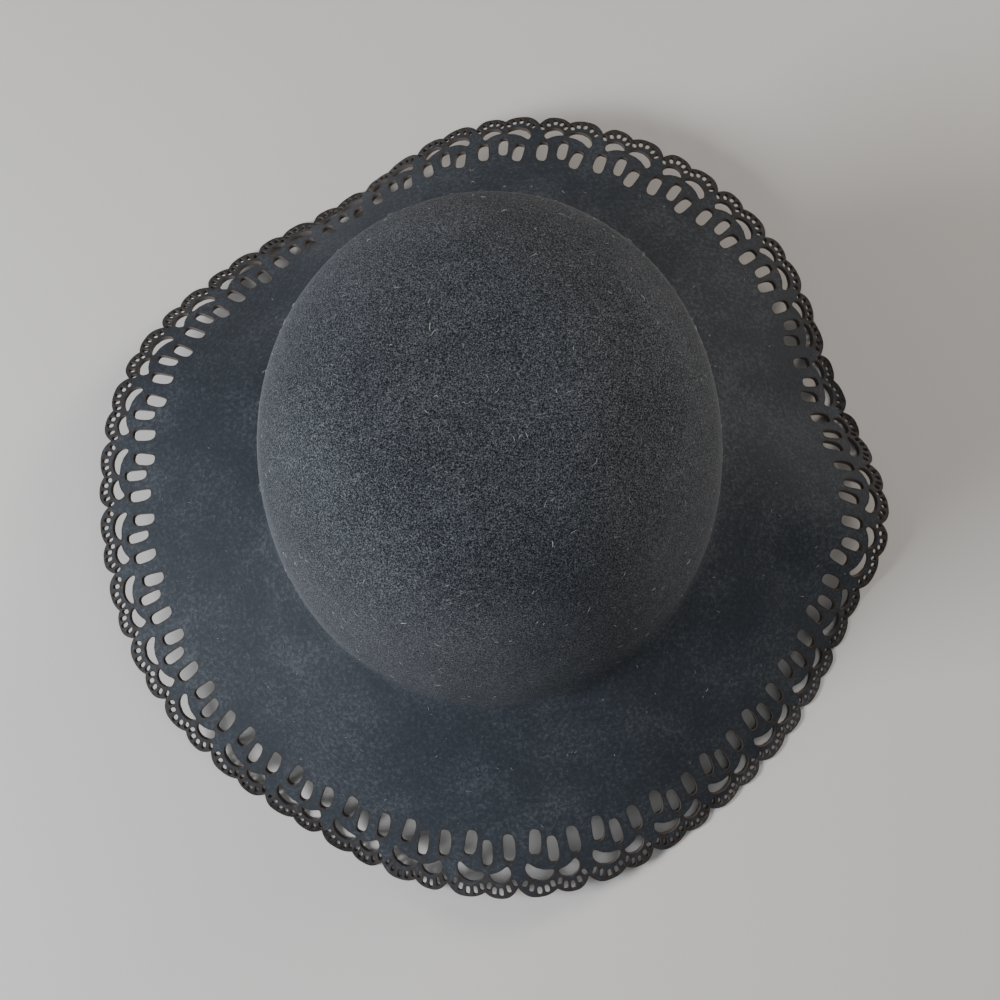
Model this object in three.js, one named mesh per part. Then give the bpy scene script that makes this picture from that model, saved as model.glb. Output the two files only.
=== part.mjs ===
// A wool felt hat: a blocked dome crown and a wide floppy brim whose edge is cut like lace.
// One piece of felt, in millimetres, +Z up, resting on z = 0 by the low folds of its brim.
// The front of the hat faces -Y. A bearing is an angle seen from above, from +X towards +Y.
import * as THREE from "three";

// Driving sizes
const HEAD_LENGTH = 192; // inside the crown at the brim, the long way of the head
const HEAD_WIDTH = 183; // inside the crown at the brim, ear to ear
const CROWN_HEIGHT = 129; // from the break of the brim to the top of the crown
const BRIM_WIDTH = 86.5; // along the felt, from the break to the tips of the scallops
const REST_PRESS = 4.5; // height that the lowest fold gives up where it lies flat on the surface
const BREAK_BEND = 5; // felt taken up, on each side, by the soft bend at the break
const FELT = 1.8; // thickness of the felt
const PITCH = 26.7; // one repeat of the lace, measured along the middle of the slots
const SLOT_LINE = 21.5; // from the tips of the scallops in to the middle of the slots
const SHALLOW_NOTCH = 2.4; // dip between the two scallops of one repeat
const DEEP_NOTCH = 4.5; // dip between one repeat and the next
const PLAIN_MARGIN = 3.5; // felt between the slots and the line where the plain brim begins
const HEM_MARGIN = 1; // felt between the deep notches and the line where the scallops begin

// Form of the crown, and the bearings of the head and the lace
const CROWN_FULLNESS = 2.9; // power of the dome's curve: 2 is an ellipse, more is squarer
const CROWN_TAPER = 0.02; // share of the radius by which the wall leans in at mid height
const HEAD_TURN = -17; // degrees that the narrow way of the head is turned from +X
const LACE_START = 83.6; // bearing of the first long slot, in degrees

// Folds of the brim, a row for each: how far the edge falls there, as a share of BRIM_WIDTH,
// and the share by which the felt steepens towards the edge, or flares where it is negative.
// The largest falls are the low folds that the hat rests on.
const FOLDS = [
  { bearing: 5, fall: 0.6, curl: 0.05 },
  { bearing: 15, fall: 0.605, curl: 0.21 },
  { bearing: 33, fall: 0.45, curl: 0.1 },
  { bearing: 61, fall: 0.33, curl: -0.44 },
  { bearing: 83, fall: 0.37, curl: 0.04 },
  { bearing: 109, fall: 0.61, curl: 0.3 },
  { bearing: 131, fall: 0.5, curl: -0.16 },
  { bearing: 155, fall: 0.31, curl: 0.15 },
  { bearing: 175, fall: 0.36, curl: 0.14 },
  { bearing: 198, fall: 0.43, curl: 0.04 },
  { bearing: 232, fall: 0.61, curl: 0.19 },
  { bearing: 266, fall: 0.47, curl: -0.38 },
  { bearing: 290, fall: 0.57, curl: 0.15 },
  { bearing: 305, fall: 0.61, curl: 0.1 },
  { bearing: 332, fall: 0.59, curl: 0.32 },
  { bearing: 346, fall: 0.44, curl: 0.41 },
];

// Slots of one repeat of the lace, clockwise: a long one, a narrow one set further out and a
// wide one set further in. All lengths are shares of PITCH: the place along the edge and out
// from the line of the slots, and the slot's own length and width.
const SLOTS = [
  { along: -0.01, out: 0, length: 0.44, width: 0.19 },
  { along: 0.325, out: 0.085, length: 0.43, width: 0.17 },
  { along: 0.585, out: -0.06, length: 0.42, width: 0.19 },
];

// Steps of the cut edge in one repeat. Each seam runs across a bridge between two slots, and
// each notch is the dip between two scallops. Both are counted in edge steps from the long slot.
const EDGE_STEPS = 15;
const SEAM_STEPS = [-3, 3, 7, 12];
const SHALLOW_STEP = 5;
const DEEP_STEP = 13;

// Fineness of the faceted surface
const COLUMNS = 54; // round the plain felt
const CROWN_RINGS = 10;
const BEND_RINGS = 3;
const BRIM_RINGS = 4;
const SLOT_END_POINTS = 5; // on each round end of a slot
const MEASURE_STEPS = 720; // round the hat, to measure the line of the slots
const REACH_STEPS = 12; // along the felt, to add up the fall of the brim
const NUDGE = 0.002; // share of a span, to find the slope of the felt

const FULL_TURN = 2 * Math.PI;
const radians = THREE.MathUtils.degToRad;

// Height of the break over the surface: what the lowest fold falls, less what it gives up.
const lowestFold = Math.max(...FOLDS.map((row) => row.fall)) * BRIM_WIDTH;
const breakHeight = lowestFold + FELT / 2 - REST_PRESS;

// Half of the head's opening at a bearing, in the middle of the felt: an ellipse, turned.
function headRadius(bearing) {
  const turned = bearing - radians(HEAD_TURN);
  const narrow = (HEAD_WIDTH + FELT) / 2;
  const long = (HEAD_LENGTH + FELT) / 2;
  return (narrow * long) / Math.hypot(long * Math.cos(turned), narrow * Math.sin(turned));
}

// A column of FOLDS at a bearing: a smooth closed curve through its rows.
function foldAt(bearing, column) {
  const count = FOLDS.length;
  const first = FOLDS[0].bearing;
  const turned = THREE.MathUtils.radToDeg(bearing) - first;
  const degrees = first + THREE.MathUtils.euclideanModulo(turned, 360);
  const at = (i) => FOLDS[(i + count) % count].bearing + 360 * Math.floor(i / count);
  const value = (i) => FOLDS[(i + count) % count][column];
  let i = 0;
  while (at(i + 1) <= degrees) i += 1;
  const span = at(i + 1) - at(i);
  const t = (degrees - at(i)) / span;
  const slopeFrom = ((value(i + 1) - value(i - 1)) / (at(i + 1) - at(i - 1))) * span;
  const slopeTo = ((value(i + 2) - value(i)) / (at(i + 2) - at(i))) * span;
  return (
    (1 + 2 * t) * (1 - t) ** 2 * value(i) +
    t * (1 - t) ** 2 * slopeFrom +
    t * t * (3 - 2 * t) * value(i + 1) +
    t * t * (t - 1) * slopeTo
  );
}

function polarPoint(bearing, radius, height) {
  return new THREE.Vector3(radius * Math.cos(bearing), radius * Math.sin(bearing), height);
}

// A point of the dome, a superellipse from the break (climb 0) to the top (climb 1).
function crownPoint(bearing, climb) {
  const angle = (climb * Math.PI) / 2;
  const [across, up] = [Math.cos(angle), Math.sin(angle)];
  const size = (across ** CROWN_FULLNESS + up ** CROWN_FULLNESS) ** (1 / CROWN_FULLNESS);
  const rise = up / size;
  const lean = 1 - CROWN_TAPER * Math.sin(Math.PI * rise) ** 2;
  return polarPoint(
    bearing,
    (headRadius(bearing) * lean * across) / size,
    breakHeight + rise * (CROWN_HEIGHT - FELT / 2),
  );
}

// A point of the brim, reach millimetres of felt out from the break. The felt keeps its length,
// so what it falls it loses in radius.
function brimPoint(bearing, reach) {
  const fall = foldAt(bearing, "fall");
  const curl = foldAt(bearing, "curl");
  const step = reach / REACH_STEPS;
  let radius = headRadius(bearing);
  let height = breakHeight;
  for (let i = 0; i < REACH_STEPS; i += 1) {
    const share = ((i + 0.5) * step) / BRIM_WIDTH;
    const sine = fall * (1 - curl + 2 * curl * share);
    radius += step * Math.sqrt(1 - sine * sine);
    height -= step * sine;
  }
  return polarPoint(bearing, radius, height);
}

// Climb and reach that take up BREAK_BEND of felt on each side of the break.
const bendClimb = (2 / Math.PI) * Math.atan2(BREAK_BEND, CROWN_HEIGHT);
const bendReach = BREAK_BEND / BRIM_WIDTH;

// The middle of the felt anywhere on the hat. A station is the climb up the crown, negative,
// or the reach out on the brim, positive and in units of BRIM_WIDTH. Round the break, the wall
// and the brim are joined by a parabola whose corner is the break.
function feltPoint(bearing, station) {
  if (station <= -bendClimb) return crownPoint(bearing, -station);
  if (station >= bendReach) return brimPoint(bearing, station * BRIM_WIDTH);
  const t = (station + bendClimb) / (bendReach + bendClimb);
  const wall = crownPoint(bearing, bendClimb).multiplyScalar((1 - t) ** 2);
  const corner = brimPoint(bearing, 0).multiplyScalar(2 * t * (1 - t));
  const brim = brimPoint(bearing, BREAK_BEND).multiplyScalar(t * t);
  return wall.add(corner).add(brim);
}

// The outward direction of the felt, square to its slopes along and across.
function feltNormal(bearing, station) {
  const along = feltPoint(bearing + NUDGE, station).sub(feltPoint(bearing - NUDGE, station));
  const down = feltPoint(bearing, station + NUDGE).sub(feltPoint(bearing, station - NUDGE));
  return down.cross(along).normalize();
}

// Vertices come in pairs, one on the outside of the felt and one on the inside, and faces are
// laid on the outside and mirrored on the inside.
const positions = [];
const faces = [];

function addPair(middle, normal) {
  const outside = middle.clone().addScaledVector(normal, FELT / 2);
  const inside = middle.clone().addScaledVector(normal, -FELT / 2);
  const lift = Math.max(0, -inside.z); // felt that would pass the surface lies flat on it
  positions.push(outside.x, outside.y, outside.z + lift);
  positions.push(inside.x, inside.y, inside.z + lift);
  return positions.length / 6 - 1;
}

function addFace(a, b, c) {
  faces.push(2 * a, 2 * b, 2 * c);
  faces.push(2 * a + 1, 2 * c + 1, 2 * b + 1);
}

// The cut edge between two neighbours of an outline whose felt lies on the left.
function addWall(a, b) {
  faces.push(2 * a, 2 * a + 1, 2 * b + 1);
  faces.push(2 * a, 2 * b + 1, 2 * b);
}

// The faces between two closed rings, each a list of { bearing, pair } with rising bearings.
// The next face always stands on the side whose middle comes first.
function addBand(inner, outer) {
  const at = (ring, i) => ring[i % ring.length].bearing + FULL_TURN * Math.floor(i / ring.length);
  const pair = (ring, i) => ring[i % ring.length].pair;
  let i = 0;
  let j = 0;
  while (i < inner.length || j < outer.length) {
    const innerMiddle = (at(inner, i) + at(inner, i + 1)) / 2;
    const outerMiddle = (at(outer, j) + at(outer, j + 1)) / 2;
    if (j === outer.length || (i < inner.length && innerMiddle < outerMiddle)) {
      addFace(pair(inner, i), pair(outer, j), pair(inner, i + 1));
      i += 1;
    } else {
      addFace(pair(inner, i), pair(outer, j), pair(outer, j + 1));
      j += 1;
    }
  }
}

// Lace layout: lengths along the line of the slots, clockwise from LACE_START.
const slotStation = 1 - SLOT_LINE / BRIM_WIDTH;
const measured = [0];
for (let i = 1; i <= MEASURE_STEPS; i += 1) {
  const before = feltPoint(radians(LACE_START) - ((i - 1) * FULL_TURN) / MEASURE_STEPS, slotStation);
  const here = feltPoint(radians(LACE_START) - (i * FULL_TURN) / MEASURE_STEPS, slotStation);
  measured.push(measured[i - 1] + before.distanceTo(here));
}
const slotLineLength = measured[MEASURE_STEPS];
const REPEATS = Math.round(slotLineLength / PITCH);

// The bearing at a number of repeats clockwise along the line of the slots.
function laceBearing(repeats) {
  const turns = Math.floor(repeats / REPEATS);
  const length = (repeats / REPEATS - turns) * slotLineLength;
  let i = 1;
  while (i < MEASURE_STEPS && measured[i] < length) i += 1;
  const share = (length - measured[i - 1]) / (measured[i] - measured[i - 1]);
  return radians(LACE_START) - (turns + (i - 1 + share) / MEASURE_STEPS) * FULL_TURN;
}

// A pair of vertices of the lace, from its place in the flat layout: repeats along, and
// millimetres out from the line of the slots.
function addLacePair(along, out) {
  const bearing = laceBearing(along);
  const station = slotStation + out / BRIM_WIDTH;
  return addPair(feltPoint(bearing, station), feltNormal(bearing, station));
}

// How far out the cut edge lies at a step: each scallop is a parabola between its two notches.
function edgeOut(step) {
  const inRepeat = THREE.MathUtils.euclideanModulo(step - SHALLOW_STEP, EDGE_STEPS) + SHALLOW_STEP;
  const large = inRepeat <= DEEP_STEP;
  const [from, to] = large ? [SHALLOW_STEP, DEEP_STEP] : [DEEP_STEP, SHALLOW_STEP + EDGE_STEPS];
  const t = (2 * (inRepeat - from)) / (to - from) - 1;
  const towardsDeep = large ? t > 0 : t < 0;
  return SLOT_LINE - (towardsDeep ? DEEP_NOTCH : SHALLOW_NOTCH) * t * t;
}

// Outline of a slot in the flat layout, counterclockwise: two half circles joined by lines.
function slotOutline(slot) {
  const points = [];
  const halfLine = ((slot.length - slot.width) * PITCH) / 2;
  for (const end of [0, 1]) {
    for (let i = 0; i < SLOT_END_POINTS; i += 1) {
      const angle = Math.PI * (end + i / (SLOT_END_POINTS - 1));
      const along = (slot.width / 2) * Math.cos(angle);
      const out = (slot.width / 2) * PITCH * Math.sin(angle) + (end ? -halfLine : halfLine);
      points.push({ along: slot.along + along, out: slot.out * PITCH + out });
    }
  }
  return points;
}

const slotDepth = Math.max(...SLOTS.map((slot) => (slot.length / 2 - slot.out) * PITCH));
const innerLine = -(slotDepth + PLAIN_MARGIN);
const hemLine = SLOT_LINE - DEEP_NOTCH - HEM_MARGIN;

// One seam across a bridge of the lace, with a pair of vertices where the plain brim ends,
// where the scallops begin and on the cut edge.
function addSeam(repeat, step) {
  const along = repeat + step / EDGE_STEPS;
  const plain = addLacePair(along, innerLine);
  const hem = addLacePair(along, hemLine);
  const tip = addLacePair(along, edgeOut(step));
  return { bearing: laceBearing(along), plain, hem, tip };
}

// A corner of a flat outline, and the pair of vertices that it stands for.
function corner(along, out, pair) {
  return { flat: new THREE.Vector2(along * PITCH, out), pair };
}

// Corners as a ring, in the order of their bearings round a point of the flat layout.
function ringRound(middle, corners) {
  const ring = corners.map(({ flat, pair }) => ({ bearing: flat.clone().sub(middle).angle(), pair }));
  return ring.sort((a, b) => a.bearing - b.bearing);
}

// One cell of the lace between two seams: a square of felt with one slot cut through it.
function addSlotCell(repeat, slot, from, to, seamFrom, seamTo) {
  const [alongFrom, alongTo] = [from / EDGE_STEPS, to / EDGE_STEPS];
  const outline = [
    corner(alongFrom, innerLine, seamFrom.plain),
    corner(alongTo, innerLine, seamTo.plain),
    corner(alongTo, hemLine, seamTo.hem),
    corner(alongFrom, hemLine, seamFrom.hem),
  ];
  const hole = slotOutline(slot).map(({ along, out }) =>
    corner(along, out, addLacePair(repeat + along, out)),
  );
  hole.forEach(({ pair }, i) => addWall(hole[(i + 1) % hole.length].pair, pair));
  const middle = new THREE.Vector2(slot.along * PITCH, slot.out * PITCH);
  addBand(ringRound(middle, hole), ringRound(middle, outline));
}

// The scalloped strip between the same two seams, from the hem line to the cut edge.
function addScallops(repeat, from, to, seamFrom, seamTo) {
  const edge = [corner(to / EDGE_STEPS, edgeOut(to), seamTo.tip)];
  for (let step = to - 1; step > from; step -= 1) {
    const along = step / EDGE_STEPS;
    edge.push(corner(along, edgeOut(step), addLacePair(repeat + along, edgeOut(step))));
  }
  edge.push(corner(from / EDGE_STEPS, edgeOut(from), seamFrom.tip));
  for (let i = 1; i < edge.length; i += 1) addWall(edge[i - 1].pair, edge[i].pair);
  const outline = [
    corner(from / EDGE_STEPS, hemLine, seamFrom.hem),
    corner(to / EDGE_STEPS, hemLine, seamTo.hem),
    ...edge,
  ];
  const flats = outline.map(({ flat }) => flat);
  for (const [a, b, c] of THREE.ShapeUtils.triangulateShape(flats, [])) {
    addFace(outline[a].pair, outline[b].pair, outline[c].pair);
  }
}

// One ring of vertices round the plain felt.
function addRing(station) {
  const ring = [];
  for (let i = 0; i < COLUMNS; i += 1) {
    const bearing = (i * FULL_TURN) / COLUMNS;
    ring.push({ bearing, pair: addPair(feltPoint(bearing, station), feltNormal(bearing, station)) });
  }
  return ring;
}

// The crown and the plain brim. Gives back its outermost ring of vertices.
function addPlainFelt() {
  const top = addPair(crownPoint(0, 1), new THREE.Vector3(0, 0, 1));
  const plainReach = slotStation + innerLine / BRIM_WIDTH;
  const stations = [];
  for (let i = 1; i <= CROWN_RINGS; i += 1) {
    stations.push(-1 + (i / CROWN_RINGS) * (1 - bendClimb));
  }
  for (let i = 1; i < BEND_RINGS; i += 1) {
    stations.push(-bendClimb + (i / BEND_RINGS) * (bendClimb + bendReach));
  }
  for (let i = 0; i < BRIM_RINGS; i += 1) {
    stations.push(bendReach + (i / BRIM_RINGS) * (plainReach - bendReach));
  }
  const rings = stations.map(addRing);
  rings[0].forEach(({ pair }, i) => addFace(top, pair, rings[0][(i + 1) % COLUMNS].pair));
  for (let i = 1; i < rings.length; i += 1) addBand(rings[i - 1], rings[i]);
  return rings[rings.length - 1];
}

// The whole lace edge. Gives back the ring of vertices where the plain brim joins it.
function addLace() {
  const seams = [];
  for (let repeat = 0; repeat < REPEATS; repeat += 1) {
    for (const step of SEAM_STEPS.slice(0, -1)) seams.push(addSeam(repeat, step));
  }
  for (let repeat = 0; repeat < REPEATS; repeat += 1) {
    SLOTS.forEach((slot, i) => {
      const [from, to] = [SEAM_STEPS[i], SEAM_STEPS[i + 1]];
      const seam = repeat * SLOTS.length + i;
      const [seamFrom, seamTo] = [seams[seam], seams[(seam + 1) % seams.length]];
      addSlotCell(repeat, slot, from, to, seamFrom, seamTo);
      addScallops(repeat, from, to, seamFrom, seamTo);
    });
  }
  const ring = seams.map(({ bearing, plain }) => ({
    bearing: THREE.MathUtils.euclideanModulo(bearing, FULL_TURN),
    pair: plain,
  }));
  return ring.sort((a, b) => a.bearing - b.bearing);
}

addBand(addPlainFelt(), addLace());

const geometry = new THREE.BufferGeometry();
geometry.setAttribute("position", new THREE.Float32BufferAttribute(positions, 3));
geometry.setIndex(faces);
geometry.computeVertexNormals();

const blackWoolFelt = new THREE.MeshStandardMaterial({ color: 0x1c1e22, roughness: 0.95, metalness: 0 });
const feltHat = new THREE.Mesh(geometry, blackWoolFelt);
feltHat.name = "felt_hat";

// The origin is on the resting surface, under the middle of the hat's outline.
geometry.computeBoundingBox();
const middle = geometry.boundingBox.getCenter(new THREE.Vector3());
feltHat.position.set(-middle.x, -middle.y, 0);

const hat = new THREE.Group();
hat.name = "hat";
hat.add(feltHat);

export default hat;
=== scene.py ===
import math

import bpy
import numpy as np
from mathutils import Matrix, Vector
from mathutils.geometry import delaunay_2d_cdt


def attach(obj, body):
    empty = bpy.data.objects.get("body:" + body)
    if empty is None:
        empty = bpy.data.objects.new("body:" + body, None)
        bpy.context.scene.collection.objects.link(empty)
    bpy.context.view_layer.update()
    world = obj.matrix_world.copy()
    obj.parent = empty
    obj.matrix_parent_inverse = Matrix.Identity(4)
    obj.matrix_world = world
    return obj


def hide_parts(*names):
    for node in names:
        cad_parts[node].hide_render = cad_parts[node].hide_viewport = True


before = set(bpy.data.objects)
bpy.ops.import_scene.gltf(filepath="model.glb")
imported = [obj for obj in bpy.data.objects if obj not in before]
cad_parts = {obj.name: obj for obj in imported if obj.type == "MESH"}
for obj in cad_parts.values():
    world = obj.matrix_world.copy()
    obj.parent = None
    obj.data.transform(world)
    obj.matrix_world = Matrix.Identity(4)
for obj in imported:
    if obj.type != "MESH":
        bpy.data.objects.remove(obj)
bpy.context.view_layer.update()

MM = 0.001  # the hat is worked out in millimetres and placed in metres
FULL_TURN = 2 * math.pi

# Sizes of the hat, in millimetres, as in the solid that it replaces.
HEAD_LENGTH = 192
HEAD_WIDTH = 183
CROWN_HEIGHT = 129
BRIM_WIDTH = 86.5
REST_PRESS = 4.5
BREAK_BEND = 5
FELT = 1.8
PITCH = 26.7
SLOT_LINE = 21.5
SHALLOW_NOTCH = 2.4
DEEP_NOTCH = 4.5

# Form of the crown, and bearings of the head and the lace in degrees.
CROWN_FULLNESS = 2.9
CROWN_TAPER = 0.02
HEAD_TURN = -17
LACE_START = 83.6

# Folds of the brim: bearing, fall of the edge as a share of BRIM_WIDTH, curl of the felt.
FOLDS = np.array([
    (5, 0.6, 0.05), (15, 0.605, 0.21), (33, 0.45, 0.1), (61, 0.33, -0.44),
    (83, 0.37, 0.04), (109, 0.61, 0.3), (131, 0.5, -0.16), (155, 0.31, 0.15),
    (175, 0.36, 0.14), (198, 0.43, 0.04), (232, 0.61, 0.19), (266, 0.47, -0.38),
    (290, 0.57, 0.15), (305, 0.61, 0.1), (332, 0.59, 0.32), (346, 0.44, 0.41),
])
BEARING, FALL, CURL = range(3)

# The lace of one repeat. Places are (repeats along, millimetres out from the slot line), sizes
# are millimetres. A slot or a crescent is a bent bean: length, width, bend and lean in degrees.
SLOTS = [
    {"at": (-0.012, 0.0), "length": 11.8, "width": 5.1, "bend": 0.35, "lean": 91},
    {"at": (0.325, 2.3), "length": 11.5, "width": 4.5, "bend": 0.3, "lean": 90},
    {"at": (0.583, -1.6), "length": 11.3, "width": 5.1, "bend": 0.35, "lean": 83},
]
CRESCENTS = [
    {"at": (0.118, 12.0), "length": 8.6, "width": 5.0, "bend": 1.7, "lean": 27},
    {"at": (0.583, 11.5), "length": 11.3, "width": 5.0, "bend": 2.4, "lean": -22},
]
# Pinholes: repeats along, out, lean and length of the hole.
PINHOLES = [
    (-0.07, 15.1, 112, 3.3), (0.02, 17.5, 103, 3.6), (0.122, 18.8, 92, 3.7),
    (0.22, 18.4, 84, 3.6), (0.295, 16.4, 76, 3.5), (0.398, 16.9, 103, 3.4),
    (0.485, 18.5, 97, 3.6), (0.59, 18.9, 90, 3.6), (0.697, 17.6, 78, 3.6),
    (0.785, 15.7, 66, 3.3), (0.85, 13.1, 78, 2.9), (0.885, 10.2, 90, 2.5),
    (0.885, 7.5, 90, 2.2),
]
PINHOLE_WIDTH = 1.8
HOLE_POWER = 3  # squareness of every hole's outline: 2 is an ellipse

# Notches of the cut edge, in repeats along: a deep one, the shallow one, the next deep one.
NOTCHES = (-0.117, 0.345, 0.883)
SCALLOP_POWER = 2.6

# Points of the seam where one repeat of the lace is joined to the next, clear of every hole.
SEAM = [
    (-0.2, -9.0), (-0.2, -4.5), (-0.2, 0.0), (-0.2, 4.5), (-0.2, 8.5), (-0.2, 11.6),
    (-0.197, 13.2), (-0.191, 14.2), (-0.178, 15.25),
]

# How raised the nap is on the pressed brim, where the crown's is 1, and the stations between
# which it is pressed down.
BRIM_FLUFF = 0.12
NAP_FADE = (-0.1, 0.06)

# Loose fibres on the nap. Lengths are millimetres, as least and most.
FIBRES_ON_CROWN = 420
FIBRES_ON_BRIM = 130
FIBRE_LENGTH = (1.2, 4.2)
BRIM_FIBRE_LENGTH = 0.6  # as a share of a fibre's length on the crown
FIBRE_RADIUS = (0.07, 0.12)
FIBRE_LIFT = 0.12  # of the ends, clear of the felt
FIBRE_BOW = 0.3  # the most that the middle stands over the ends
FIBRE_SWEEP = 1.5  # spread of the turn from end to end, in radians
FIBRE_SEED = 17

# Fineness of the mesh.
COLUMNS_PER_REPEAT = 6
CROWN_RINGS = 34
BEND_RINGS = 6
BRIM_RINGS = 26
SLOT_POINTS = 26
CRESCENT_POINTS = 26
PINHOLE_POINTS = 10
EDGE_POINTS = 44
FILL_STEP = 1.7
FILL_CLEAR = 0.42  # least share of FILL_STEP between a filling point and a cut
SHARP_ANGLE = 50  # degrees between faces from which an edge is shaded as sharp
REACH_STEPS = 12
FIBRE_RINGS = 6
MEASURE_STEPS = 1440
NUDGE = 0.002

lowest_fold = FOLDS[:, FALL].max() * BRIM_WIDTH
break_height = lowest_fold + FELT / 2 - REST_PRESS


def head_radius(bearing):
    """Radius of the middle of the felt at the break: an ellipse, turned by HEAD_TURN."""
    turned = bearing - math.radians(HEAD_TURN)
    narrow = (HEAD_WIDTH + FELT) / 2
    long = (HEAD_LENGTH + FELT) / 2
    return narrow * long / np.hypot(long * np.cos(turned), narrow * np.sin(turned))


def fold_at(bearing, column):
    """A column of FOLDS at any bearing: a closed cubic curve through its rows, whose slope at a
    row is that of the line through the two rows beside it."""
    places, values = FOLDS[:, BEARING], FOLDS[:, column]
    count = len(places)
    degrees = places[0] + np.mod(np.degrees(bearing) - places[0], 360)
    row = np.searchsorted(places, degrees, side="right") - 1

    def place(i):
        return places[np.mod(i, count)] + 360 * np.floor_divide(i, count)

    def value(i):
        return values[np.mod(i, count)]

    span = place(row + 1) - place(row)
    t = (degrees - place(row)) / span
    slope_from = (value(row + 1) - value(row - 1)) / (place(row + 1) - place(row - 1)) * span
    slope_to = (value(row + 2) - value(row)) / (place(row + 2) - place(row)) * span
    return (
        (1 + 2 * t) * (1 - t) ** 2 * value(row)
        + t * (1 - t) ** 2 * slope_from
        + t * t * (3 - 2 * t) * value(row + 1)
        + t * t * (t - 1) * slope_to
    )


def polar(bearing, radius, height):
    """Points at a bearing, radius and height."""
    return np.stack([radius * np.cos(bearing), radius * np.sin(bearing), height], axis=-1)


def crown_point(bearing, climb):
    """The dome: a superellipse of power CROWN_FULLNESS from the break (climb 0) to the top
    (climb 1), leaning in by CROWN_TAPER at mid height."""
    angle = climb * math.pi / 2
    across, up = np.abs(np.cos(angle)), np.abs(np.sin(angle))
    size = (across**CROWN_FULLNESS + up**CROWN_FULLNESS) ** (1 / CROWN_FULLNESS)
    rise = up / size
    lean = 1 - CROWN_TAPER * np.sin(math.pi * rise) ** 2
    height = break_height + rise * (CROWN_HEIGHT - FELT / 2)
    return polar(bearing, head_radius(bearing) * lean * across / size, height)


def brim_point(bearing, reach):
    """The brim: reach is added up in small steps whose sine of slope grows by the curl, so the
    felt keeps its length and loses in radius what it falls."""
    fall = fold_at(bearing, FALL)
    curl = fold_at(bearing, CURL)
    step = reach / REACH_STEPS
    radius = head_radius(bearing) + 0 * reach
    height = break_height + 0 * reach + 0 * bearing
    for i in range(REACH_STEPS):
        share = (i + 0.5) * step / BRIM_WIDTH
        sine = fall * (1 - curl + 2 * curl * share)
        radius = radius + step * np.sqrt(1 - sine * sine)
        height = height - step * sine
    return polar(bearing, radius, height)


bend_climb = 2 / math.pi * math.atan2(BREAK_BEND, CROWN_HEIGHT)
bend_reach = BREAK_BEND / BRIM_WIDTH


def felt_point(bearing, station):
    """The middle of the felt. A station is the climb up the crown, negative, or the reach out on
    the brim in units of BRIM_WIDTH. A parabola rounds the break."""
    bearing, station = np.broadcast_arrays(bearing, station)
    station = station.astype(float)
    crown = crown_point(bearing, np.clip(-station, bend_climb, 1))
    brim = brim_point(bearing, np.maximum(station, bend_reach) * BRIM_WIDTH)
    t = np.clip((station + bend_climb) / (bend_reach + bend_climb), 0, 1)[..., None]
    bend = (
        crown_point(bearing, bend_climb + 0 * station) * (1 - t) ** 2
        + brim_point(bearing, 0 * station) * 2 * t * (1 - t)
        + brim_point(bearing, BREAK_BEND + 0 * station) * t * t
    )
    on_crown = (station <= -bend_climb)[..., None]
    on_brim = (station >= bend_reach)[..., None]
    return np.where(on_crown, crown, np.where(on_brim, brim, bend))


def felt_normal(bearing, station):
    """The outward direction of the felt, square to its slopes along and across."""
    along = felt_point(bearing + NUDGE, station) - felt_point(bearing - NUDGE, station)
    down = felt_point(bearing, station + NUDGE) - felt_point(bearing, station - NUDGE)
    normal = np.cross(down, along)
    return normal / np.linalg.norm(normal, axis=-1, keepdims=True)


# The line of the slots, measured clockwise from LACE_START.
slot_station = 1 - SLOT_LINE / BRIM_WIDTH
measure_turns = np.linspace(0, 1, MEASURE_STEPS + 1)
measure_line = felt_point(math.radians(LACE_START) - measure_turns * FULL_TURN, slot_station)
measured = np.r_[0, np.cumsum(np.linalg.norm(np.diff(measure_line, axis=0), axis=1))]
REPEATS = round(measured[-1] / PITCH)


def lace_bearing(along):
    """The bearing at a number of repeats clockwise along the line of the slots."""
    turns = np.floor(along / REPEATS)
    length = (along / REPEATS - turns) * measured[-1]
    return math.radians(LACE_START) - (turns + np.interp(length, measured, measure_turns)) * FULL_TURN


def bean(at, length, width, bend, lean, count):
    """A bean-shaped outline, counterclockwise, in flat millimetres: a flattened circle of power
    HOLE_POWER whose long way is bent into an arc by bend and then turned to lean."""
    angle = np.arange(count) / count * FULL_TURN
    across, up = np.cos(angle), np.sin(angle)
    x = length / 2 * np.sign(across) * np.abs(across) ** (2 / HOLE_POWER)
    y = width / 2 * np.sign(up) * np.abs(up) ** (2 / HOLE_POWER)
    y = y - bend * (2 * x / length) ** 2 + bend / 3
    turn = math.radians(lean)
    return np.stack([
        at[0] * PITCH + x * math.cos(turn) - y * math.sin(turn),
        at[1] + x * math.sin(turn) + y * math.cos(turn),
    ], axis=1)


def cut_edge(along):
    """How far out the cut edge lies: each scallop falls from its tip to its two notches by a
    power of the distance from its middle."""
    deep_from, shallow, deep_to = NOTCHES
    inside = deep_from + np.mod(along - deep_from, 1)
    small = inside < shallow
    start = np.where(small, deep_from, shallow)
    end = np.where(small, shallow, deep_to)
    t = 2 * (inside - start) / (end - start) - 1
    towards_deep = np.where(small, t < 0, t > 0)
    drop = np.where(towards_deep, DEEP_NOTCH, SHALLOW_NOTCH)
    return SLOT_LINE - drop * np.abs(t) ** SCALLOP_POWER


def inside_outline(points, outline):
    """Which points lie inside a closed outline, by counting the edges to their right."""
    x, y = points[:, :1], points[:, 1:]
    x0, y0 = outline[:, 0], outline[:, 1]
    x1, y1 = np.roll(x0, -1), np.roll(y0, -1)
    crosses = (y0 > y) != (y1 > y)
    slope = (x1 - x0) / np.where(y1 == y0, 1, y1 - y0)
    return (crosses & (x < x0 + (y - y0) * slope)).sum(axis=1) % 2 == 1


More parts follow.
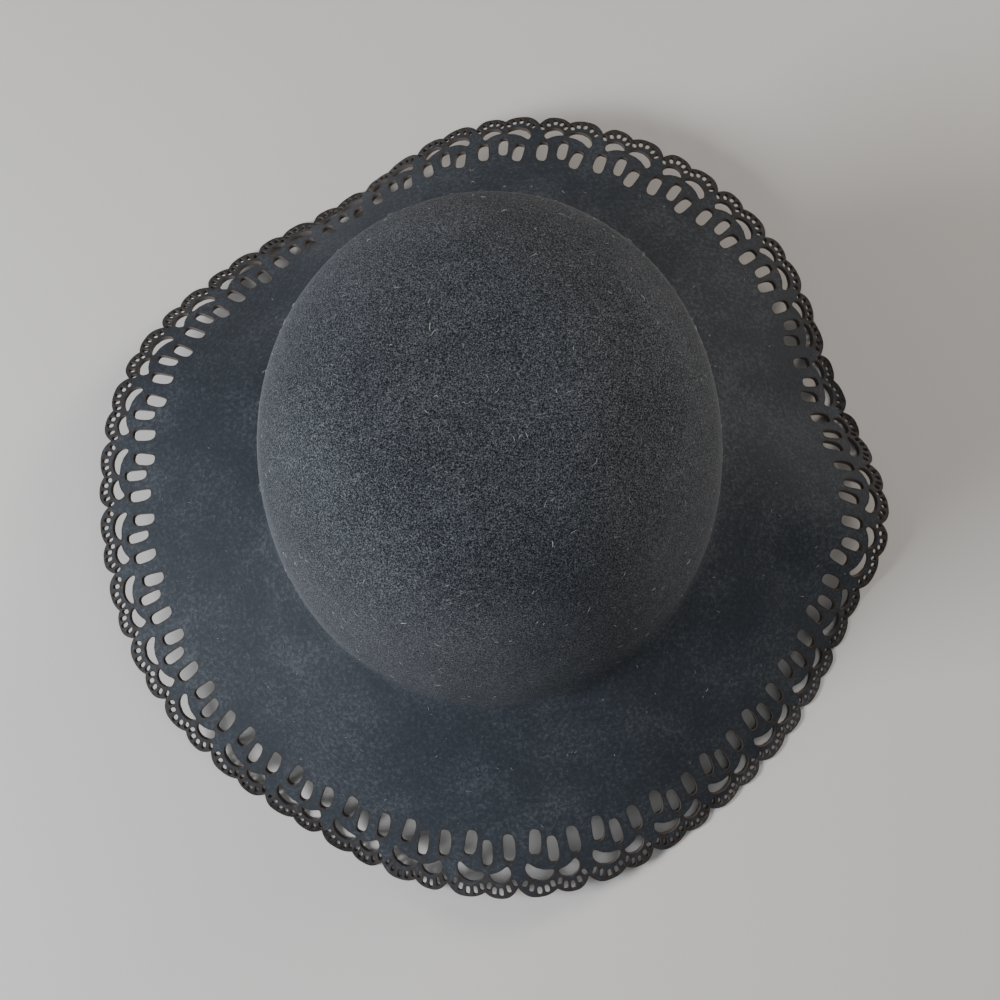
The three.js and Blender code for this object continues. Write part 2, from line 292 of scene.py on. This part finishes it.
def lace_repeat():
    """One repeat of the lace as a flat triangulated cell. Gives points, triangles, the number of
    seam points (first those of the left seam, then those of the right, which is one PITCH on),
    the inner row and the edges where the felt is cut."""
    seam = [(along * PITCH, out) for along, out in SEAM]
    seam.append((NOTCHES[0] * PITCH, float(cut_edge(np.array(NOTCHES[0])))))
    left = np.array(seam)
    right = left + (PITCH, 0)
    inner_along = np.arange(1, COLUMNS_PER_REPEAT) / COLUMNS_PER_REPEAT * PITCH + left[0, 0]
    inner = np.stack([inner_along, np.full_like(inner_along, left[0, 1])], axis=1)
    edge_along = np.linspace(NOTCHES[0] + 1, NOTCHES[0], EDGE_POINTS + 1)[1:-1]
    shallow = np.abs(edge_along - NOTCHES[1]).argmin()
    edge_along[shallow] = NOTCHES[1]
    edge = np.stack([edge_along * PITCH, cut_edge(edge_along)], axis=1)
    holes = [bean(count=SLOT_POINTS, **slot) for slot in SLOTS]
    holes += [bean(count=CRESCENT_POINTS, **crescent) for crescent in CRESCENTS]
    for along, out, lean, length in PINHOLES:
        holes.append(bean((along, out), length, PINHOLE_WIDTH, 0, lean, PINHOLE_POINTS))

    seam_count = len(left)
    inner_row = np.r_[0, 2 * seam_count + np.arange(len(inner)), seam_count]
    edge_first = 2 * seam_count + len(inner)
    outer_edge = np.r_[2 * seam_count - 1, edge_first + np.arange(len(edge)), seam_count - 1]
    outline = np.r_[inner_row, seam_count + np.arange(1, seam_count), outer_edge[1:-1],
                    np.arange(seam_count - 1, 0, -1)]
    points = [left, right, inner, edge]
    loops = [outline]
    first = edge_first + len(edge)
    for hole in holes:
        loops.append(first + np.arange(len(hole)))
        points.append(hole)
        first += len(hole)
    points = np.concatenate(points)

    # Points that fill the felt between the cuts, kept clear of every cut and seam.
    segments = np.concatenate([np.stack([loop, np.roll(loop, -1)], axis=1) for loop in loops])
    across = np.arange(left[:, 0].min(), right[:, 0].max(), FILL_STEP)
    up = np.arange(left[0, 1] + FILL_STEP * 0.7, SLOT_LINE, FILL_STEP)
    fill = np.stack(np.meshgrid(across, up), axis=-1)
    fill[1::2, :, 0] += FILL_STEP / 2
    fill = fill.reshape(-1, 2)
    keep = inside_outline(fill, points[outline])
    for hole in holes:
        keep &= ~inside_outline(fill, hole)
    start, end = points[segments[:, 0]], points[segments[:, 1]]
    ray = end - start
    share = ((fill[:, None] - start) * ray).sum(axis=2) / (ray * ray).sum(axis=1)
    nearest = start + np.clip(share, 0, 1)[..., None] * ray
    keep &= np.linalg.norm(fill[:, None] - nearest, axis=2).min(axis=1) > FILL_STEP * FILL_CLEAR
    points = np.concatenate([points, fill[keep]])

    made = delaunay_2d_cdt([Vector(p) for p in points], segments.tolist(), [], 0, 1e-7)
    triangles = np.array([[made[3][i][0] for i in face] for face in made[2]])
    centres = points[triangles].mean(axis=1)
    felt = inside_outline(centres, points[outline])
    for hole in holes:
        felt &= ~inside_outline(centres, hole)
    triangles = triangles[felt]
    a, b, c = points[triangles].transpose(1, 0, 2)
    area = (b - a)[:, 0] * (c - a)[:, 1] - (b - a)[:, 1] * (c - a)[:, 0]
    triangles[area < 0] = triangles[area < 0][:, ::-1]

    cuts = [np.stack([outer_edge[:-1], outer_edge[1:]], axis=1)]
    cuts += [np.stack([np.roll(loop, -1), loop], axis=1) for loop in loops[1:]]
    return points, triangles, seam_count, inner_row, np.concatenate(cuts)


def in_repeats(ids, seam_count, per_repeat):
    """Vertex numbers of one cell turned into those of every repeat. The right seam of a repeat is
    the left seam of the next."""
    repeats = np.arange(REPEATS).reshape((-1,) + (1,) * ids.ndim)
    right = (ids >= seam_count) & (ids < 2 * seam_count)
    local = np.where(ids < seam_count, ids, ids - seam_count)
    owner = np.where(right, repeats + 1, repeats) % REPEATS
    return owner * per_repeat + local


def hat_surface():
    """Bearings, stations, triangles and cut edges of the whole hat, as one layer of felt."""
    points, triangles, seam_count, inner_row, cuts = lace_repeat()
    own = np.r_[np.arange(seam_count), np.arange(2 * seam_count, len(points))]
    per_repeat = len(own)
    along = points[own, 0] / PITCH + np.arange(REPEATS)[:, None]
    bearings = lace_bearing(along).ravel()
    stations = np.tile(slot_station + points[own, 1] / BRIM_WIDTH, REPEATS)
    lace_triangles = in_repeats(triangles, seam_count, per_repeat).reshape(-1, 3)
    lace_cuts = in_repeats(cuts, seam_count, per_repeat).reshape(-1, 2)
    joint = in_repeats(inner_row[:-1], seam_count, per_repeat).ravel()

    # Rings of the crown and the plain brim, on the columns of the joint row.
    columns = len(joint)
    plain = stations[joint[0]]
    rings = np.r_[
        -1 + (np.arange(1, CROWN_RINGS + 1) / CROWN_RINGS) * (1 - bend_climb),
        -bend_climb + (np.arange(1, BEND_RINGS) / BEND_RINGS) * (bend_climb + bend_reach),
        bend_reach + np.arange(BRIM_RINGS) / BRIM_RINGS * (plain - bend_reach),
    ]
    first = len(bearings)
    grid_bearings = np.tile(bearings[joint], len(rings))
    grid = first + np.arange(len(rings) * columns).reshape(len(rings), columns)
    grid = np.vstack([grid, joint])
    a, b = grid[:-1], np.roll(grid[:-1], -1, axis=1)
    c, d = np.roll(grid[1:], -1, axis=1), grid[1:]
    squares = np.concatenate([np.stack([a, b, c], axis=2), np.stack([a, c, d], axis=2)])
    top = first + len(rings) * columns
    cap = np.stack([np.full(columns, top), np.roll(grid[0], -1), grid[0]], axis=1)
    return (
        np.r_[bearings, grid_bearings, 0.0],
        np.r_[stations, np.repeat(rings, columns), -1.0],
        np.concatenate([lace_triangles, squares.reshape(-1, 3), cap]),
        lace_cuts,
    )


def new_piece(name, vertices, triangles, materials):
    """A smooth-shaded mesh object from whole arrays, with its place in its vertices."""
    mesh = bpy.data.meshes.new(name)
    mesh.vertices.add(len(vertices))
    mesh.vertices.foreach_set("co", vertices.astype(np.float32).ravel())
    mesh.loops.add(triangles.size)
    mesh.loops.foreach_set("vertex_index", triangles.astype(np.int32).ravel())
    mesh.polygons.add(len(triangles))
    mesh.polygons.foreach_set("loop_start", np.arange(0, triangles.size, 3, dtype=np.int32))
    mesh.polygons.foreach_set("use_smooth", np.ones(len(triangles), dtype=bool))
    mesh.update(calc_edges=True)
    mesh.validate()
    for material in materials:
        mesh.materials.append(material)
    piece = bpy.data.objects.new(name, mesh)
    bpy.context.collection.objects.link(piece)
    return piece


def felt_hat(materials):
    """The whole hat: the surface laid on both sides of the felt and joined by its cut edges."""
    bearings, stations, triangles, cuts = hat_surface()
    middle = felt_point(bearings, stations)
    normal = felt_normal(bearings, stations)
    normal[-1] = (0, 0, 1)
    outside = middle + normal * FELT / 2
    inside = middle - normal * FELT / 2
    lift = np.maximum(0, -inside[:, 2])  # felt that would pass the surface lies flat on it
    outside[:, 2] += lift
    inside[:, 2] += lift
    count = len(middle)
    a, b = cuts[:, 0], cuts[:, 1]
    walls = np.concatenate([
        np.stack([a, a + count, b + count], axis=1),
        np.stack([a, b + count, b], axis=1),
    ])
    faces = np.concatenate([triangles, triangles[:, ::-1] + count, walls])
    vertices = np.concatenate([outside, inside])
    low, high = vertices.min(axis=0), vertices.max(axis=0)
    shift = np.array([-(low[0] + high[0]) / 2, -(low[1] + high[1]) / 2, 0])
    piece = new_piece("felt_hat_shaped", (vertices + shift) * MM, faces, materials)

    mesh = piece.data
    slot_numbers = np.zeros(len(faces), dtype=np.int32)
    slot_numbers[len(triangles) * 2:] = 1
    mesh.polygons.foreach_set("material_index", slot_numbers)
    cut_mask = np.zeros(len(vertices), dtype=np.float32)
    cut_mask[np.unique(np.r_[cuts, cuts + count])] = 1
    mesh.attributes.new("cut", "FLOAT", "POINT").data.foreach_set("value", cut_mask)
    raised_to, pressed_from = NAP_FADE
    pressed = np.clip((stations - raised_to) / (pressed_from - raised_to), 0, 1)
    fluff = (1 - (1 - BRIM_FLUFF) * pressed * pressed * (3 - 2 * pressed)).astype(np.float32)
    mesh.attributes.new("fluff", "FLOAT", "POINT").data.foreach_set("value", np.tile(fluff, 2))
    mesh.set_sharp_from_angle(angle=math.radians(SHARP_ANGLE))
    return piece, shift


def socket(group, name, kind, way, default=None):
    """One named input or output of a shader node group."""
    made = group.interface.new_socket(name=name, in_out=way, socket_type=kind)
    if default is not None:
        made.default_value = default
    return made


def node(tree, kind, label=None, **values):
    """A node with its settings, and its named inputs set or linked."""
    made = tree.nodes.new(kind)
    if label:
        made.label = label
    inputs = values.pop("inputs", {})
    for key, value in values.items():
        setattr(made, key, value)
    for key, value in inputs.items():
        if isinstance(value, bpy.types.NodeSocket):
            tree.links.new(value, made.inputs[key])
        else:
            made.inputs[key].default_value = value
    return made


def ramp(tree, value, low, high, out_low=0.0, out_high=1.0):
    """A value carried from one range to another, held at its ends."""
    made = node(tree, "ShaderNodeMapRange", inputs={
        "Value": value, "From Min": low, "From Max": high, "To Min": out_low, "To Max": out_high,
    })
    return made.outputs["Result"]


def math_node(tree, operation, a, b=0.0):
    """One sum or product of two values."""
    return node(tree, "ShaderNodeMath", operation=operation, inputs={0: a, 1: b}).outputs[0]


def felt_nap_group():
    """Pressed wool: a net of fine curly fibres over dark pits where the nap is raised, faint
    flecks where it is pressed, soft clouds, stray pale fibres, and the height of the nap."""
    group = bpy.data.node_groups.new("felt_nap", "ShaderNodeTree")
    socket(group, "Fibre Size", "NodeSocketFloat", "INPUT", 0.0011)
    socket(group, "Fleck Size", "NodeSocketFloat", "INPUT", 0.0016)
    socket(group, "Cloud Size", "NodeSocketFloat", "INPUT", 0.03)
    socket(group, "Fluff", "NodeSocketFloat", "INPUT", 1.0)
    socket(group, "Tone", "NodeSocketFloat", "OUTPUT")
    socket(group, "Pale Fibre", "NodeSocketFloat", "OUTPUT")
    socket(group, "Height", "NodeSocketFloat", "OUTPUT")
    given = node(group, "NodeGroupInput").outputs
    place = node(group, "ShaderNodeTexCoord").outputs["Object"]

    def noise(label, size, **more):
        scale = math_node(group, "DIVIDE", 1.0, size)
        made = node(group, "ShaderNodeTexNoise", label, inputs={
            "Vector": place, "Scale": scale, **more,
        })
        return made.outputs["Fac"]

    def curls(label, size, distortion):
        """Thin curly lines where a distorted noise passes its middle value."""
        field = noise(label, size, Detail=1.0, Distortion=distortion)
        away = math_node(group, "ABSOLUTE", math_node(group, "SUBTRACT", field, 0.5))
        return ramp(group, away, 0.0, 0.06, 1.0, 0.0)

    specks = ramp(group, noise("pits", math_node(group, "MULTIPLY", given["Fibre Size"], 0.5),
                               Detail=2.0, Roughness=0.7), 0.3, 0.7, -1.0, 1.0)
    coarse = curls("long curls", given["Fibre Size"], 1.6)
    fine = curls("short curls", math_node(group, "MULTIPLY", given["Fibre Size"], 0.6), 2.4)
    net = math_node(group, "MAXIMUM", coarse, fine)
    raised = math_node(group, "ADD", math_node(group, "MULTIPLY", specks, 1.1),
                       math_node(group, "MULTIPLY", math_node(group, "SUBTRACT", net, 0.42), 1.5))
    flecks = ramp(group, noise("flecks", given["Fleck Size"], Detail=3.0), 0.3, 0.7, -1.0, 1.0)
    clouds = ramp(group, noise("clouds", given["Cloud Size"], Detail=4.0, Roughness=0.6),
                  0.3, 0.7, -0.13, 0.13)
    quiet = math_node(group, "MULTIPLY", flecks, 0.17)
    tone = node(group, "ShaderNodeMix", data_type="FLOAT", inputs={
        "Factor": given["Fluff"], "A": quiet, "B": raised,
    }).outputs["Result"]
    tone = math_node(group, "ADD", tone, clouds)

    lint_scale = math_node(group, "DIVIDE", 0.16, given["Fibre Size"])
    lint = node(group, "ShaderNodeTexVoronoi", "lint", feature="F1", inputs={
        "Vector": place, "Scale": lint_scale, "Randomness": 1.0,
    })
    close = ramp(group, lint.outputs["Distance"], 0.03, 0.075, 1.0, 0.0)
    chosen = node(group, "ShaderNodeSeparateColor", inputs={"Color": lint.outputs["Color"]})
    seldom = ramp(group, chosen.outputs["Red"], 0.86, 0.97, 0.0, 1.0)
    height = math_node(group, "MULTIPLY", math_node(group, "ADD", specks, net), given["Fluff"])
    result = node(group, "NodeGroupOutput")
    group.links.new(tone, result.inputs["Tone"])
    group.links.new(math_node(group, "MULTIPLY", close, seldom), result.inputs["Pale Fibre"])
    group.links.new(math_node(group, "ADD", height, math_node(group, "MULTIPLY", flecks, 0.2)),
                    result.inputs["Height"])
    return group


def mix(tree, factor, low, high):
    """A colour between two others."""
    made = node(tree, "ShaderNodeMix", data_type="RGBA", inputs={"Factor": factor})
    for key, value in (("A", low), ("B", high)):
        target = [s for s in made.inputs if s.name == key and s.type == "RGBA"][0]
        if isinstance(value, bpy.types.NodeSocket):
            tree.links.new(value, target)
        else:
            target.default_value = value
    return [s for s in made.outputs if s.type == "RGBA"][0]


def felt_material(name, nap, dark, middle, pale, scorch, sheen):
    """Wool felt: the nap's tone runs from dark pits by a middle tone to pale fibres, browned
    beside each cut, with a painted rim sheen that pales the raised nap at grazing angles, under a
    soft sheen."""
    material = bpy.data.materials.new(name)
    material.use_nodes = True
    tree = material.node_tree
    tree.nodes.clear()
    fluff = node(tree, "ShaderNodeAttribute", attribute_name="fluff").outputs["Fac"]
    grain = node(tree, "ShaderNodeGroup", node_tree=nap, inputs={"Fluff": fluff})
    colour = mix(tree, ramp(tree, grain.outputs["Tone"], -1.0, 0.0), dark, middle)
    colour = mix(tree, ramp(tree, grain.outputs["Tone"], 0.0, 1.0), colour, pale)
    colour = mix(tree, math_node(tree, "MULTIPLY", grain.outputs["Pale Fibre"], 0.6), colour,
                 (0.3, 0.3, 0.3, 1))
    # Painted rim sheen: where the raised nap is seen side-on, its colour is paled towards the pale
    # tone, a painted highlight along the outline.
    side_on = node(tree, "ShaderNodeLayerWeight", inputs={"Blend": 0.25}).outputs["Facing"]
    painted_rim_sheen = math_node(tree, "MULTIPLY", ramp(tree, side_on, 0.62, 0.95, 0.0, 0.5), fluff)
    colour = mix(tree, painted_rim_sheen, colour, pale)
    cut = node(tree, "ShaderNodeAttribute", attribute_name="cut").outputs["Fac"]
    browned = math_node(tree, "MULTIPLY", math_node(tree, "POWER", cut, 1.5), 0.6)
    colour = mix(tree, browned, colour, scorch)
    bumped = node(tree, "ShaderNodeBump", inputs={
        "Strength": 0.5, "Distance": 0.0004, "Height": grain.outputs["Height"],
    })
    shader = node(tree, "ShaderNodeBsdfPrincipled", inputs={
        "Base Color": colour, "Roughness": ramp(tree, fluff, 0.0, 1.0, 0.62, 0.95),
        "Specular IOR Level": 0.2,
        "Sheen Weight": sheen, "Sheen Roughness": 0.5, "Sheen Tint": (0.9, 0.93, 1.0, 1.0),
        "Normal": bumped.outputs["Normal"],
    })
    result = node(tree, "ShaderNodeOutputMaterial")
    tree.links.new(shader.outputs["BSDF"], result.inputs["Surface"])
    return material


# Colours of the felt: dark pits, middle tone, pale fibres (also the colour of the painted rim sheen
# at grazing angles) and the brown beside a cut.
FELT_LOOK = {
    "dark": (0.002, 0.0025, 0.004, 1), "middle": (0.024, 0.03, 0.039, 1),
    "pale": (0.19, 0.2, 0.22, 1), "scorch": (0.028, 0.019, 0.013, 1), "sheen": 0.05,
}
CUT_LOOK = {
    "dark": (0.02, 0.017, 0.016, 1), "middle": (0.07, 0.06, 0.056, 1),
    "pale": (0.15, 0.135, 0.13, 1), "scorch": (0.1, 0.08, 0.068, 1), "sheen": 0.08,
}

nap = felt_nap_group()
black_wool_felt = felt_material("black_wool_felt", nap, **FELT_LOOK)
cut_felt = felt_material("cut_felt_edge", nap, **CUT_LOOK)
hat, hat_shift = felt_hat([black_wool_felt, cut_felt])
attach(hat, "root")
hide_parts("felt_hat")


def stray_fibres(material):
    """Loose wool fibres on the nap: each is a thin three-sided tube, pointed at both ends, along
    an arc that is drawn in the flat felt and laid on its curved outside, bowed clear of it."""
    chance = np.random.default_rng(FIBRE_SEED)
    crown_share = FIBRES_ON_CROWN / (FIBRES_ON_CROWN + FIBRES_ON_BRIM)
    count = FIBRES_ON_CROWN + FIBRES_ON_BRIM
    on_crown = (np.arange(count) + 0.5) / count < crown_share
    down = chance.random(count)
    station = np.where(on_crown, -1 + 0.97 * np.sqrt(down), 0.06 + 0.6 * down)
    bearing = chance.random(count) * FULL_TURN
    length = chance.uniform(*FIBRE_LENGTH, count) * np.where(on_crown, 1, BRIM_FIBRE_LENGTH)
    heading = chance.random(count) * FULL_TURN
    sweep = chance.normal(0, FIBRE_SWEEP, count)
    along = np.linspace(-0.5, 0.5, FIBRE_RINGS)[None, :]
    turned = heading[:, None] + sweep[:, None] * along
    step = length[:, None] / FIBRE_RINGS
    right = np.cumsum(np.cos(turned) * step, axis=1)
    out = np.cumsum(np.sin(turned) * step, axis=1)

    # Millimetres along the felt turned into bearings and stations by its own slopes.
    here = felt_point(bearing, station)
    per_turn = np.linalg.norm(felt_point(bearing + NUDGE, station) - here, axis=1) / NUDGE
    per_station = np.linalg.norm(felt_point(bearing, station + NUDGE) - here, axis=1) / NUDGE
    bearings = bearing[:, None] + right / np.maximum(per_turn, 8)[:, None]
    stations = np.clip(station[:, None] + out / per_station[:, None], -0.999, 0.7)
    bow = FIBRE_LIFT + FIBRE_BOW * chance.random(count)[:, None] * (1 - (2 * along) ** 2)
    normal = felt_normal(bearings, stations)
    spine = felt_point(bearings, stations) + normal * (FELT / 2 + bow)[..., None]
    forward = np.gradient(spine, axis=1)
    forward /= np.linalg.norm(forward, axis=2, keepdims=True)
    side = np.cross(forward, normal)
    thick = chance.uniform(*FIBRE_RADIUS, count)[:, None] * np.sqrt(1.06 - (2 * along) ** 2)
    corners = np.arange(3) / 3 * FULL_TURN
    ring = (
        normal[:, :, None] * np.cos(corners)[:, None] + side[:, :, None] * np.sin(corners)[:, None]
    )
    vertices = spine[:, :, None] + ring * thick[..., None, None]
    grid = np.arange(count * FIBRE_RINGS * 3).reshape(count, FIBRE_RINGS, 3)
    a, b = grid[:, :-1], np.roll(grid[:, :-1], -1, axis=2)
    c, d = np.roll(grid[:, 1:], -1, axis=2), grid[:, 1:]
    faces = np.concatenate([
        np.stack([a, b, c], axis=3).reshape(-1, 3), np.stack([a, c, d], axis=3).reshape(-1, 3),
        grid[:, 0, ::-1], grid[:, -1],
    ])
    return new_piece("stray_fibres", (vertices.reshape(-1, 3) + hat_shift) * MM, faces, [material])


def fibre_material():
    """Pale wool, some fibres greyer than others."""
    material = bpy.data.materials.new("pale_wool_fibre")
    material.use_nodes = True
    tree = material.node_tree
    tree.nodes.clear()
    place = node(tree, "ShaderNodeTexCoord").outputs["Object"]
    patches = node(tree, "ShaderNodeTexNoise", inputs={"Vector": place, "Scale": 160.0})
    tone = ramp(tree, patches.outputs["Fac"], 0.35, 0.65)
    shader = node(tree, "ShaderNodeBsdfPrincipled", inputs={
        "Base Color": mix(tree, tone, (0.12, 0.125, 0.14, 1), (0.55, 0.55, 0.53, 1)),
        "Roughness": 0.8,
    })
    result = node(tree, "ShaderNodeOutputMaterial")
    tree.links.new(shader.outputs["BSDF"], result.inputs["Surface"])
    return material


fibres = stray_fibres(fibre_material())
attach(fibres, "root")


def plain_material(name, colour, roughness):
    """One plain finish with a faint cloudiness."""
    material = bpy.data.materials.new(name)
    material.use_nodes = True
    tree = material.node_tree
    tree.nodes.clear()
    place = node(tree, "ShaderNodeTexCoord").outputs["Object"]
    clouds = node(tree, "ShaderNodeTexNoise", inputs={"Vector": place, "Scale": 3.0}).outputs["Fac"]
    paler = tuple(min(1.0, c * 1.04) for c in colour[:3]) + (1,)
    shader = node(tree, "ShaderNodeBsdfPrincipled", inputs={
        "Base Color": mix(tree, clouds, colour, paler), "Roughness": roughness,
    })
    result = node(tree, "ShaderNodeOutputMaterial")
    tree.links.new(shader.outputs["BSDF"], result.inputs["Surface"])
    return material


def studio_floor():
    """A wide flat square just below everything."""
    half = 3.0
    corners = np.array([(-half, -half, 0), (half, -half, 0), (half, half, 0), (-half, half, 0)])
    floor = new_piece("studio_floor", corners, np.array([(0, 1, 2), (0, 2, 3)]),
                      [plain_material("pale_floor", (0.62, 0.6, 0.58, 1), 0.7)])


def area_light(name, place, aim, size, power, colour):
    """A square soft light that points at aim."""
    light = bpy.data.lights.new(name, "AREA")
    light.size = size
    light.energy = power
    light.color = colour
    lamp = bpy.data.objects.new(name, light)
    lamp.location = place
    lamp.rotation_euler = (Vector(aim) - Vector(place)).to_track_quat("-Z", "Y").to_euler()
    bpy.context.collection.objects.link(lamp)


studio_floor()
CROWN_MIDDLE = (0, 0, 0.09)
area_light("window_left", (-1.05, -0.24, 0.66), CROWN_MIDDLE, 0.5, 22, (0.94, 0.97, 1.0))
area_light("warm_behind", (1.35, 0.8, 0.7), CROWN_MIDDLE, 0.6, 17, (1.0, 0.9, 0.78))
area_light("fill_above", (0.4, -0.4, 1.7), CROWN_MIDDLE, 1.4, 6, (0.94, 0.97, 1.0))
world = bpy.data.worlds.new("studio")
world.use_nodes = True
world.node_tree.nodes["Background"].inputs["Color"].default_value = (0.9, 0.94, 1.0, 1)
world.node_tree.nodes["Background"].inputs["Strength"].default_value = 0.14
bpy.context.scene.world = world

# The camera, from the photograph's viewing angle: elevation over the floor, roll about the line
# of sight, distance to a point at the height of the break, and focal length for a 36 mm sensor.
VIEW_ELEVATION = math.radians(74.56)
VIEW_ROLL = math.radians(8.7)
VIEW_DISTANCE = 677.9
VIEW_TARGET = (0.7, -13.3)
FOCAL_LENGTH = 58.97


def photo_camera():
    """The camera's axes: right, up and back, with right and up turned by the roll."""
    target = Vector((VIEW_TARGET[0] + hat_shift[0], VIEW_TARGET[1] + hat_shift[1], break_height))
    back = Vector((0, -math.cos(VIEW_ELEVATION), math.sin(VIEW_ELEVATION)))
    level_up = Vector((0, math.sin(VIEW_ELEVATION), math.cos(VIEW_ELEVATION)))
    level_right = Vector((1, 0, 0))
    right = level_right * math.cos(VIEW_ROLL) - level_up * math.sin(VIEW_ROLL)
    up = level_right * math.sin(VIEW_ROLL) + level_up * math.cos(VIEW_ROLL)
    place = (target + back * VIEW_DISTANCE) * MM
    turn = Matrix((right, up, back)).transposed().to_4x4()
    camera_data = bpy.data.cameras.new("photo_view")
    camera_data.lens = FOCAL_LENGTH
    camera_data.sensor_width = 36
    camera_data.clip_start = 0.01
    camera = bpy.data.objects.new("photo_view", camera_data)
    camera.matrix_world = Matrix.Translation(place) @ turn
    bpy.context.collection.objects.link(camera)
    bpy.context.scene.camera = camera


photo_camera()
